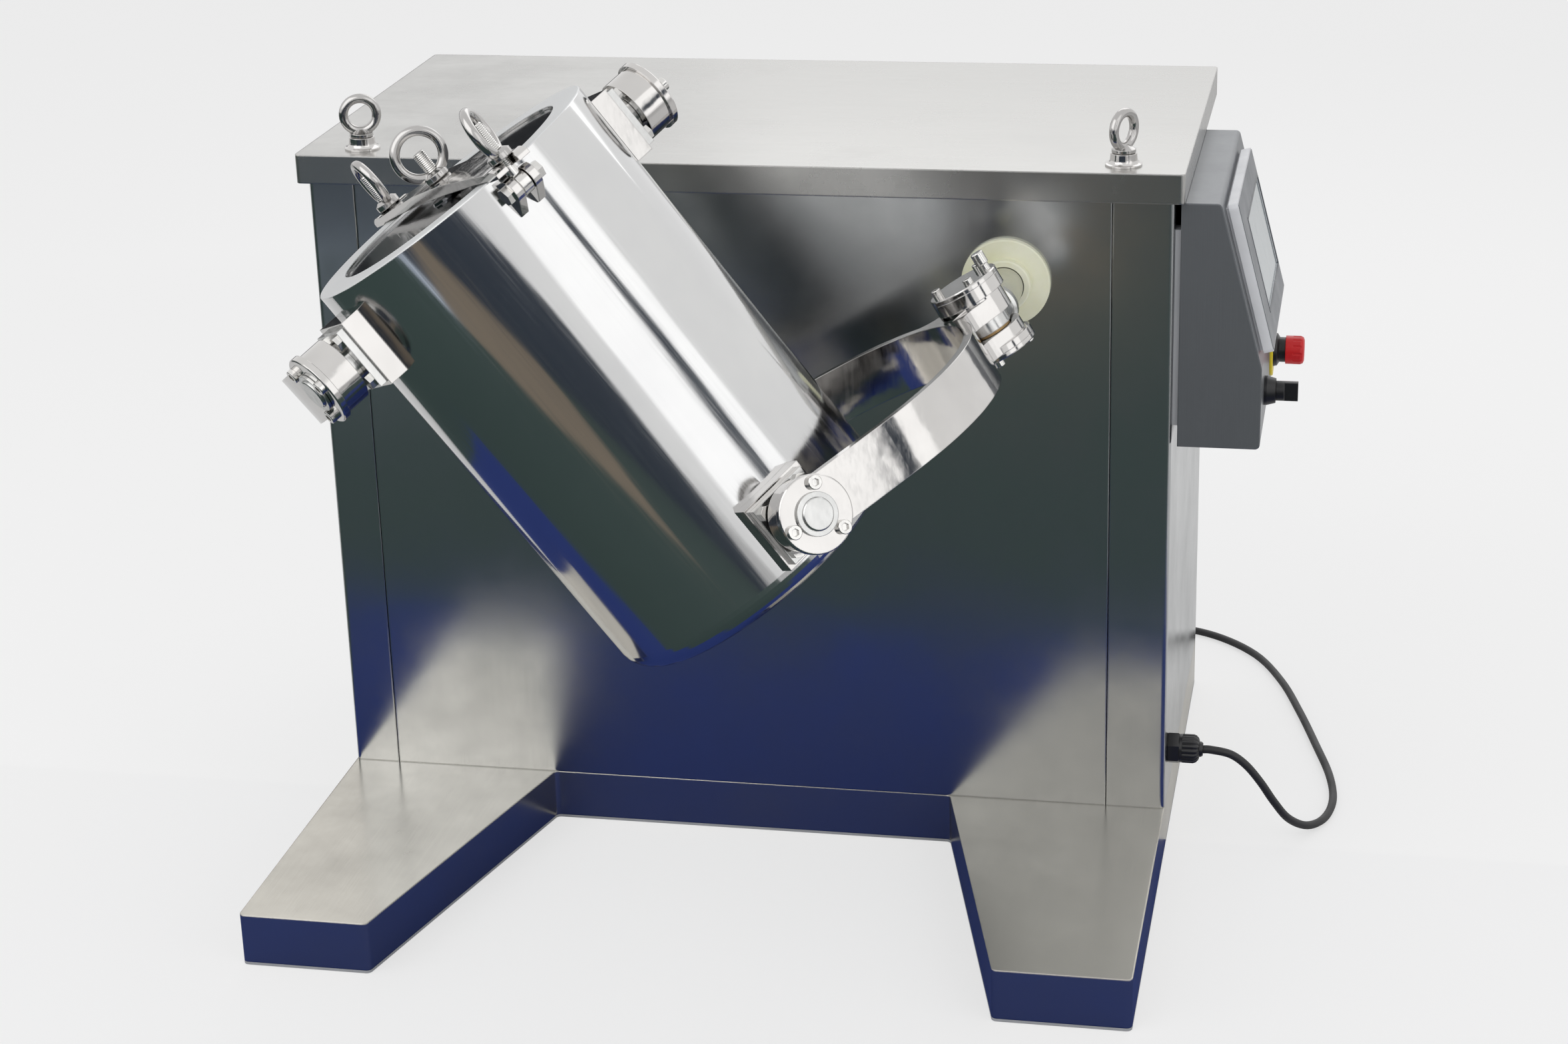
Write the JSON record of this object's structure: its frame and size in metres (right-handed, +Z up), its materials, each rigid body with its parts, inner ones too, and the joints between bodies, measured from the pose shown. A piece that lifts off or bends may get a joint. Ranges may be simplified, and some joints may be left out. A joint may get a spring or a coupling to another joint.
{
  "type": "three-dimensional mixer",
  "caption": "Barrel mixer with a clamped lid, carried by two forked yokes on parallel shafts ahead of a cabinet with a U-shaped base and a touch panel.",
  "frame": {"origin": "middle of the cabinet's underside, on the floor", "axes": "+Z up, -Y towards the barrel and the front, +X towards the control box"},
  "size_m": [1.1124, 1.2307, 0.9489],
  "materials": {
    "brushed_sheet": "fine brushed stainless steel",
    "polished_steel": "polished stainless steel",
    "satin_barrel": "satin stainless steel, brushed round the barrel",
    "bright_bolt": "bright stainless steel fasteners",
    "steel_shaft": "ground steel",
    "black_steel": "blackened spring steel",
    "cast_housing": "painted cast iron",
    "plate_steel": "grey primer",
    "motor_paint": "blue-grey enamel",
    "bronze_bush": "sintered bronze",
    "cream_nylon": "cream nylon",
    "gasket_silicone": "white silicone",
    "panel_plastic": "light grey moulded plastic",
    "screen_glass": "dark glossy display, off",
    "black_plastic": "black plastic",
    "red_plastic": "red plastic",
    "yellow_plastic": "yellow plastic",
    "cord_rubber": "black rubber",
    "inverter_case": "dark grey plastic on an aluminium heat sink"
  },
  "bodies": {
    "frame": {"base_frame": "brushed_sheet", "base_floor": "plate_steel", "front_panel": "brushed_sheet", "left_panel": "brushed_sheet", "right_panel": "brushed_sheet", "rear_panel": "brushed_sheet", "top_cover": "brushed_sheet", "lifting_bosses": "polished_steel", "lifting_eyes": "polished_steel", "panel_screws": "bright_bolt", "bearing_plate": "plate_steel", "bearing_housings": "cast_housing", "shaft_bearings": "steel_shaft", "shaft_seals": "cream_nylon", "gear_reducer": "cast_housing", "drive_motor": "motor_paint", "reducer_bracket": "plate_steel", "inverter": "inverter_case", "control_box": "brushed_sheet", "box_mount_strip": "plate_steel", "touch_panel_frame": "panel_plastic", "touch_screen": "screen_glass", "estop_plate": "yellow_plastic", "estop_collar": "black_plastic", "selector_bezel": "black_plastic", "cable_gland": "black_plastic", "power_cord": "cord_rubber", "cord_coil": "cord_rubber", "plug": "black_plastic"},
    "drive_shaft": {"drive_shaft": "steel_shaft", "drive_pin": "steel_shaft"},
    "driven_shaft": {"driven_shaft": "steel_shaft", "driven_pin": "steel_shaft"},
    "drive_yoke": {"drive_yoke": "polished_steel", "drive_yoke_bushes": "bronze_bush", "drive_yoke_caps": "polished_steel", "drive_cap_screws": "bright_bolt"},
    "driven_yoke": {"driven_yoke": "polished_steel", "driven_yoke_bushes": "bronze_bush", "driven_yoke_caps": "polished_steel", "driven_cap_screws": "bright_bolt", "thrust_washers": "bronze_bush"},
    "barrel": {"barrel_shell": "satin_barrel", "barrel_pads": "polished_steel", "trunnions": "steel_shaft", "trunnion_bolts": "bright_bolt", "retaining_rings": "black_steel", "clamp_lugs": "polished_steel", "hinge_pins": "bright_bolt"},
    "lid": {"lid": "polished_steel", "lid_gasket": "gasket_silicone", "clamp_bar": "polished_steel"},
    "centre_clamp": {"centre_screw": "bright_bolt", "centre_eye_nut": "polished_steel"},
    "front_bolt": {"front_swing_bolt": "bright_bolt"},
    "back_bolt": {"back_swing_bolt": "bright_bolt"},
    "front_nut": {"front_eye_nut": "polished_steel"},
    "back_nut": {"back_eye_nut": "polished_steel"},
    "estop_button": {"estop_head": "red_plastic"},
    "selector": {"selector_knob": "black_plastic"}
  },
  "joints": [
    {"name": "driven_shaft_turn", "type": "hinge", "parent": "frame", "child": "driven_shaft", "pos_m": [0.28838, -0.39, 0.648], "axis": [0, 1, 0], "range_deg": [-4.81, 4.81]},
    {"name": "driven_yoke_swing", "type": "hinge", "parent": "driven_shaft", "child": "driven_yoke", "pos_m": [0.28838, -0.39, 0.648], "axis": [0.5066, 0, -0.8622], "range_deg": [-3.3, 3.3]},
    {"name": "barrel_swing", "type": "hinge", "parent": "driven_yoke", "child": "barrel", "pos_m": [0.06629, -0.6195, 0.5175], "axis": [0.5735, -0.7467, 0.337], "range_deg": [-8.3, 8.3]},
    {"name": "drive_yoke_swing", "type": "hinge", "parent": "barrel", "child": "drive_yoke", "pos_m": [-0.13588, -0.64932, 0.79546], "axis": [0.5725, 0.6596, 0.4871], "range_deg": [-6.6, 6.6]},
    {"name": "drive_shaft_turn", "type": "hinge", "parent": "frame", "child": "drive_shaft", "pos_m": [-0.30918, -0.39, 0.648], "axis": [0, 1, 0], "range_deg": [-8.05, 8.05]},
    {"name": "lid_lift", "type": "slide", "parent": "barrel", "child": "lid", "axis": [-0.586, -0.0864, 0.8057], "range_m": [0, 0.024]},
    {"name": "centre_screw_turn", "type": "hinge", "parent": "lid", "child": "centre_clamp", "pos_m": [-0.16869, -0.65416, 0.84058], "axis": [-0.586, -0.0864, 0.8057], "continuous": true},
    {"name": "front_bolt_swing", "type": "hinge", "parent": "barrel", "child": "front_bolt", "pos_m": [-0.06236, -0.77729, 0.88236], "axis": [0.5725, 0.6596, 0.4871], "range_deg": [0, 60]},
    {"name": "back_bolt_swing", "type": "hinge", "parent": "barrel", "child": "back_bolt", "pos_m": [-0.25392, -0.52791, 0.7698], "axis": [-0.5725, -0.6596, -0.4871], "range_deg": [0, 60]},
    {"name": "front_nut_travel", "type": "slide", "parent": "front_bolt", "child": "front_nut", "axis": [-0.586, -0.0864, 0.8057], "range_m": [0, 0.029]},
    {"name": "back_nut_travel", "type": "slide", "parent": "back_bolt", "child": "back_nut", "axis": [-0.586, -0.0864, 0.8057], "range_m": [0, 0.029]},
    {"name": "estop_push", "type": "slide", "parent": "frame", "child": "estop_button", "axis": [-1, 0, 0], "range_m": [0, 0.005], "stiffness_N_per_m": 400},
    {"name": "selector_turn", "type": "hinge", "parent": "frame", "child": "selector", "pos_m": [0.575, -0.165, 0.515], "axis": [1, 0, 0], "range_deg": [-45, 45]}
  ],
  "couplings": [
    {"joint": "driven_yoke_swing", "follows": "driven_shaft_turn", "ratio": 0.6757},
    {"joint": "barrel_swing", "follows": "driven_shaft_turn", "ratio": 1.7171},
    {"joint": "drive_yoke_swing", "follows": "driven_shaft_turn", "ratio": -1.3511},
    {"joint": "drive_shaft_turn", "follows": "driven_shaft_turn", "ratio": -1.6631},
    {"joint": "front_nut_travel", "follows": "lid_lift", "ratio": 1.2},
    {"joint": "back_nut_travel", "follows": "lid_lift", "ratio": 1.2}
  ]
}
